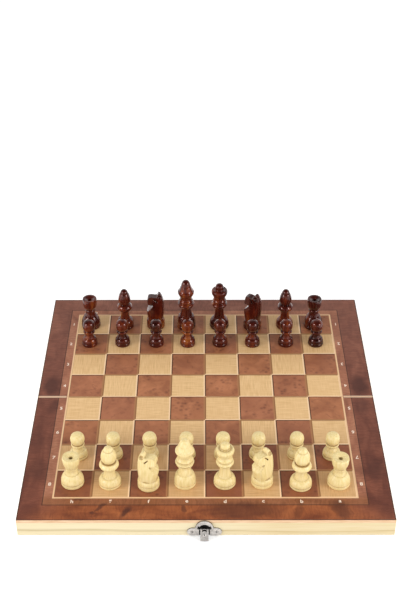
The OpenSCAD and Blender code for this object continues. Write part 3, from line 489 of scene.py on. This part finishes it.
# the varnish gives sharp highlights, and the stained wood under it a broad soft one
stained, t, shader = surface("varnished_stained_wood", Roughness=0.26, IOR=1.5, Coat_Weight=0.6,
                             Coat_Roughness=0.08, Specular_Tint=linear("#c8705c"))
place = add(t, "TexCoord")["Object"]
grain = add(t, "TexNoise", {"Vector": add(t, "Mapping", {0: place, "Scale": (260, 260, 50)})[0],
                            "Scale": 1, "Detail": 2})[0]
each = add(t, "TexNoise", {"Vector": place, "Scale": 28, "Detail": 1})[0]
depth = add(t, "Mix", {0: 0.6, 2: grain, 3: each})[0]
stain = add(t, "ValToRGB", {0: depth}, [(0.36, "#1f0503"), (0.66, "#8a4a1a"),
                                        (0.50, "#42120a"), (0.58, "#60240f")])[0]
# painted shade: the turned grooves darken towards near-black
groove_pool_and_shade = add(t, "AmbientOcclusion", {"Distance": 2.0 * MM}, samples=8, only_local=True)["AO"]
groove_pool_and_shade = add(t, "MapRange", {0: groove_pool_and_shade, 1: 0.85, 2: 0.3, 4: 0.95})[0]
stain = add(t, "Mix", {0: groove_pool_and_shade, 6: stain, 7: linear("#0a0303")}, data_type="RGBA")[2]
t.links.new(stain, shader.inputs["Base Color"])
soft = add(t, "Bevel", {"Radius": ROUNDED}, samples=8)["Normal"]
t.links.new(soft, shader.inputs["Normal"])
t.links.new(soft, shader.inputs["Coat Normal"])
dress(stained, ["dark_" + man for man in MEN] + ["dark_draughts"])

plastic, t, shader = surface("moulded_ivory_plastic", Roughness=0.3, IOR=1.49)
mottle = add(t, "TexNoise", {"Vector": add(t, "TexCoord")["Object"], "Scale": 300})[0]
ivory = add(t, "ValToRGB", {0: mottle}, [(0.3, "#f1ede0"), (0.7, "#f8f5ea")])[0]
pip = add(t, "AmbientOcclusion", {"Distance": 0.8 * MM}, samples=8, only_local=True)["AO"]
pip = add(t, "MapRange", {0: pip, 1: 0.85, 2: 0.7})[0]
ivory = add(t, "Mix", {0: pip, 6: ivory, 7: linear("#161414")}, data_type="RGBA")[2]
t.links.new(ivory, shader.inputs["Base Color"])
dress(plastic, ["dice"])

# ---- Table, light and camera ----------------------------------------------------------------
# A flat white table in a white room: pale walls and ceiling, a white backdrop behind, and a dim
# room in front for what shines. A square lamp stands 0.45 m high on each side in front. The
# camera stands where the photograph was taken from.

TABLE_R, TABLE_GLOW = 4.0, 0.28
floor_mesh = bpy.data.meshes.new("table_top")
around = np.linspace(0, 2 * np.pi, 64, endpoint=False)
rim = np.stack([TABLE_R * np.cos(around), TABLE_R * np.sin(around), 0 * around], 1)
floor_mesh.from_pydata(rim.tolist(), [], [list(range(len(rim)))])
floor = bpy.data.objects.new("table_top", floor_mesh)
bpy.context.scene.collection.objects.link(floor)
white, t, shader = surface("white_table", Roughness=0.9, Specular_IOR_Level=0.1)
shader.inputs["Base Color"].default_value = linear("#ffffff")
shader.inputs["Emission Color"].default_value = (1, 1, 1, 1)
path = add(t, "LightPath")
seen = add(t, "Math", {0: path["Is Camera Ray"], 1: path["Is Glossy Ray"]},
           operation="MAXIMUM")[0]
seen = add(t, "Math", {0: seen, 1: path["Is Transmission Ray"]}, operation="MAXIMUM")[0]
t.links.new(add(t, "MapRange", {0: seen, 4: TABLE_GLOW})[0], shader.inputs["Emission Strength"])
floor_mesh.materials.append(white)

world = bpy.data.worlds.new("white_room")
bpy.context.scene.world = world
world.use_nodes = True
sky = world.node_tree
path = add(sky, "LightPath")
toward = add(sky, "SeparateXYZ", {0: add(sky, "TexCoord")["Generated"]})
# what a glossy surface mirrors: white low down all round, the backdrop, and the dim room in front
low = add(sky, "MapRange", {0: toward[2], 1: 0.42, 2: 0.10})[0]
backdrop = add(sky, "MapRange", {0: toward[1], 1: -0.15, 2: 0.40})[0]
ceiling = add(sky, "MapRange", {0: toward[2], 1: 0.52, 2: 0.70, 3: 1.0, 4: 0.15})[0]
backdrop = add(sky, "Math", {0: backdrop, 1: ceiling}, operation="MULTIPLY")[0]
mirrored = add(sky, "Math", {0: low, 1: backdrop}, operation="MAXIMUM")[0]
mirrored = add(sky, "MapRange", {0: mirrored, 3: 0.05, 4: 1.0})[0]
# the walls of the white room are brighter than its ceiling
WALL_LEVEL, CEILING_LEVEL = 0.98, 0.60
daylight = add(sky, "MapRange", {0: toward[2], 3: WALL_LEVEL, 4: CEILING_LEVEL})[0]
level = add(sky, "Mix", {0: path["Is Glossy Ray"], 2: daylight, 3: mirrored})[0]
seen = add(sky, "Math", {0: path["Is Camera Ray"], 1: path["Is Transmission Ray"]},
           operation="MAXIMUM")[0]
level = add(sky, "Mix", {0: seen, 2: level, 3: 1.0})[0]
sky.links.new(level, sky.nodes["Background"].inputs["Strength"])
sky.nodes["Background"].inputs["Color"].default_value = (1, 1, 1, 1)

LAMP_OUT, LAMP_FRONT, LAMP_HIGH = 0.95, -0.54, 0.45
LAMP_SIZE, LAMP_WATTS = 0.42, 6.4
for name, side in (("lamp_left", -1), ("lamp_right", 1)):
    spot = (side * LAMP_OUT, LAMP_FRONT, LAMP_HIGH)
    lamp = bpy.data.lights.new(name, "AREA")
    lamp.size, lamp.energy = LAMP_SIZE, LAMP_WATTS
    holder = bpy.data.objects.new(name, lamp)
    holder.location = spot
    holder.rotation_euler = Vector(spot).to_track_quat("Z", "Y").to_euler()
    bpy.context.scene.collection.objects.link(holder)

CAMERA_AT = (-2.66 * MM, -758.6 * MM, 652.5 * MM)
CAMERA_TURN, CAMERA_DOWN, CAMERA_ROLL = 0.111, 35.145, -0.120      # degrees
lens = bpy.data.cameras.new("camera")
lens.lens, lens.sensor_width, lens.clip_start = 68.49, 36, 0.01
camera = bpy.data.objects.new("camera", lens)
camera.matrix_world = (Matrix.Translation(CAMERA_AT)
                       @ Matrix.Rotation(np.radians(CAMERA_TURN), 4, "Z")
                       @ Matrix.Rotation(np.radians(90 - CAMERA_DOWN), 4, "X")
                       @ Matrix.Rotation(np.radians(CAMERA_ROLL), 4, "Z"))
bpy.context.scene.collection.objects.link(camera)
bpy.context.scene.camera = camera
bpy.context.scene.view_settings.view_transform = "Standard"
